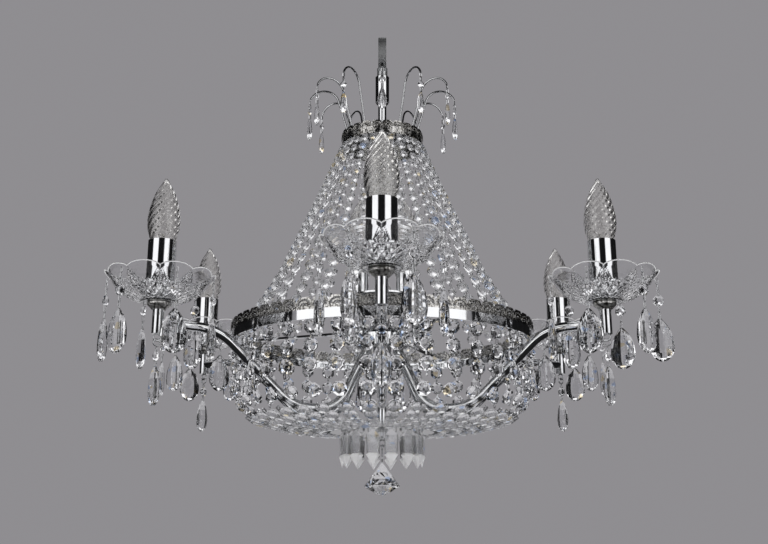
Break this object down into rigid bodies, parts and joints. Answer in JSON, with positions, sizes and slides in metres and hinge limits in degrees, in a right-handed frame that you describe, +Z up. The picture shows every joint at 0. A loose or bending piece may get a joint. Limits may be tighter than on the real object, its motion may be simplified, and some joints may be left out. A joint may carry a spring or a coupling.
{
  "type": "crystal chandelier",
  "caption": "Hanging basket chandelier: a tent and basket of crystal beads on a metal ring, with bent candle arms, glass dishes and drops.",
  "frame": {"origin": "centre of the hanging eye's bore at the top", "axes": "+Z up, the eye's bore runs along X, the first arm points to -Y"},
  "size_m": [0.5944, 0.6533, 0.5675],
  "materials": {
    "chrome": "polished",
    "silvered_metal": "antique silver, dark in the hollows",
    "steel": "bright zinc",
    "crystal": "cut and polished",
    "dish_glass": "pressed clear glass",
    "bulb_glass": "clear, twisted ribs",
    "holder_plastic": "matte"
  },
  "bodies": {
    "frame": {"hanging_eye": "chrome", "eye_collar": "chrome", "centre_tube": "chrome", "crown_plate": "silvered_metal", "crown_ring": "silvered_metal", "crown_tendrils": "chrome", "tendril_drops": "crystal", "tent_strands": "crystal", "main_ring": "chrome", "ring_gallery": "silvered_metal", "ring_spokes": "chrome", "inner_lamp_plate": "chrome", "arm_hub": "chrome", "basket_side_strands": "crystal", "basket_floor_strands": "crystal", "base_plate": "chrome", "base_prisms": "crystal", "finial_cap": "chrome", "stack_nuts": "steel", "dish_cups": "silvered_metal", "lampholders": "holder_plastic", "inner_lamp_covers": "chrome", "inner_bulbs": "bulb_glass", "arm_1": "chrome", "candle_cover_1": "chrome", "arm_2": "chrome", "candle_cover_2": "chrome", "arm_3": "chrome", "candle_cover_3": "chrome", "arm_4": "chrome", "candle_cover_4": "chrome", "arm_5": "chrome", "candle_cover_5": "chrome", "arm_6": "chrome", "candle_cover_6": "chrome"},
    "dish_1": {"dish_1": "dish_glass", "dish_drops_1": "crystal"},
    "bulb_1": {"bulb_1": "bulb_glass"},
    "stub_drop_1": {"stub_drop_1": "crystal"},
    "dish_2": {"dish_2": "dish_glass", "dish_drops_2": "crystal"},
    "bulb_2": {"bulb_2": "bulb_glass"},
    "stub_drop_2": {"stub_drop_2": "crystal"},
    "dish_3": {"dish_3": "dish_glass", "dish_drops_3": "crystal"},
    "bulb_3": {"bulb_3": "bulb_glass"},
    "stub_drop_3": {"stub_drop_3": "crystal"},
    "dish_4": {"dish_4": "dish_glass", "dish_drops_4": "crystal"},
    "bulb_4": {"bulb_4": "bulb_glass"},
    "stub_drop_4": {"stub_drop_4": "crystal"},
    "dish_5": {"dish_5": "dish_glass", "dish_drops_5": "crystal"},
    "bulb_5": {"bulb_5": "bulb_glass"},
    "stub_drop_5": {"stub_drop_5": "crystal"},
    "dish_6": {"dish_6": "dish_glass", "dish_drops_6": "crystal"},
    "bulb_6": {"bulb_6": "bulb_glass"},
    "stub_drop_6": {"stub_drop_6": "crystal"},
    "finial": {"finial_drop": "crystal"}
  },
  "joints": [
    {"name": "dish_1_turn", "type": "hinge", "parent": "frame", "child": "dish_1", "pos_m": [0, -0.2679, -0.3522], "axis": [0, 0, 1], "range_deg": [-15, 15]},
    {"name": "bulb_1_unscrew", "type": "hinge", "parent": "frame", "child": "bulb_1", "pos_m": [0, -0.2679, -0.2857], "axis": [0, 0, 1], "range_deg": [0, 900]},
    {"name": "stub_drop_1_swing", "type": "hinge", "parent": "frame", "child": "stub_drop_1", "pos_m": [0, -0.2679, -0.3923], "axis": [1, 0, 0], "range_deg": [-20, 20]},
    {"name": "dish_2_turn", "type": "hinge", "parent": "frame", "child": "dish_2", "pos_m": [0.23201, -0.13395, -0.3522], "axis": [0, 0, 1], "range_deg": [-15, 15]},
    {"name": "bulb_2_unscrew", "type": "hinge", "parent": "frame", "child": "bulb_2", "pos_m": [0.23201, -0.13395, -0.2857], "axis": [0, 0, 1], "range_deg": [0, 900]},
    {"name": "stub_drop_2_swing", "type": "hinge", "parent": "frame", "child": "stub_drop_2", "pos_m": [0.23201, -0.13395, -0.3923], "axis": [0.5, 0.866, 0], "range_deg": [-20, 20]},
    {"name": "dish_3_turn", "type": "hinge", "parent": "frame", "child": "dish_3", "pos_m": [0.23201, 0.13395, -0.3522], "axis": [0, 0, 1], "range_deg": [-15, 15]},
    {"name": "bulb_3_unscrew", "type": "hinge", "parent": "frame", "child": "bulb_3", "pos_m": [0.23201, 0.13395, -0.2857], "axis": [0, 0, 1], "range_deg": [0, 900]},
    {"name": "stub_drop_3_swing", "type": "hinge", "parent": "frame", "child": "stub_drop_3", "pos_m": [0.23201, 0.13395, -0.3923], "axis": [-0.5, 0.866, 0], "range_deg": [-20, 20]},
    {"name": "dish_4_turn", "type": "hinge", "parent": "frame", "child": "dish_4", "pos_m": [0, 0.2679, -0.3522], "axis": [0, 0, 1], "range_deg": [-15, 15]},
    {"name": "bulb_4_unscrew", "type": "hinge", "parent": "frame", "child": "bulb_4", "pos_m": [0, 0.2679, -0.2857], "axis": [0, 0, 1], "range_deg": [0, 900]},
    {"name": "stub_drop_4_swing", "type": "hinge", "parent": "frame", "child": "stub_drop_4", "pos_m": [0, 0.2679, -0.3923], "axis": [-1, 0, 0], "range_deg": [-20, 20]},
    {"name": "dish_5_turn", "type": "hinge", "parent": "frame", "child": "dish_5", "pos_m": [-0.23201, 0.13395, -0.3522], "axis": [0, 0, 1], "range_deg": [-15, 15]},
    {"name": "bulb_5_unscrew", "type": "hinge", "parent": "frame", "child": "bulb_5", "pos_m": [-0.23201, 0.13395, -0.2857], "axis": [0, 0, 1], "range_deg": [0, 900]},
    {"name": "stub_drop_5_swing", "type": "hinge", "parent": "frame", "child": "stub_drop_5", "pos_m": [-0.23201, 0.13395, -0.3923], "axis": [-0.5, -0.866, 0], "range_deg": [-20, 20]},
    {"name": "dish_6_turn", "type": "hinge", "parent": "frame", "child": "dish_6", "pos_m": [-0.23201, -0.13395, -0.3522], "axis": [0, 0, 1], "range_deg": [-15, 15]},
    {"name": "bulb_6_unscrew", "type": "hinge", "parent": "frame", "child": "bulb_6", "pos_m": [-0.23201, -0.13395, -0.2857], "axis": [0, 0, 1], "range_deg": [0, 900]},
    {"name": "stub_drop_6_swing", "type": "hinge", "parent": "frame", "child": "stub_drop_6", "pos_m": [-0.23201, -0.13395, -0.3923], "axis": [0.5, -0.866, 0], "range_deg": [-20, 20]},
    {"name": "finial_swing", "type": "hinge", "parent": "frame", "child": "finial", "pos_m": [0, 0, -0.4887], "axis": [0, 1, 0], "range_deg": [-20, 20]}
  ]
}
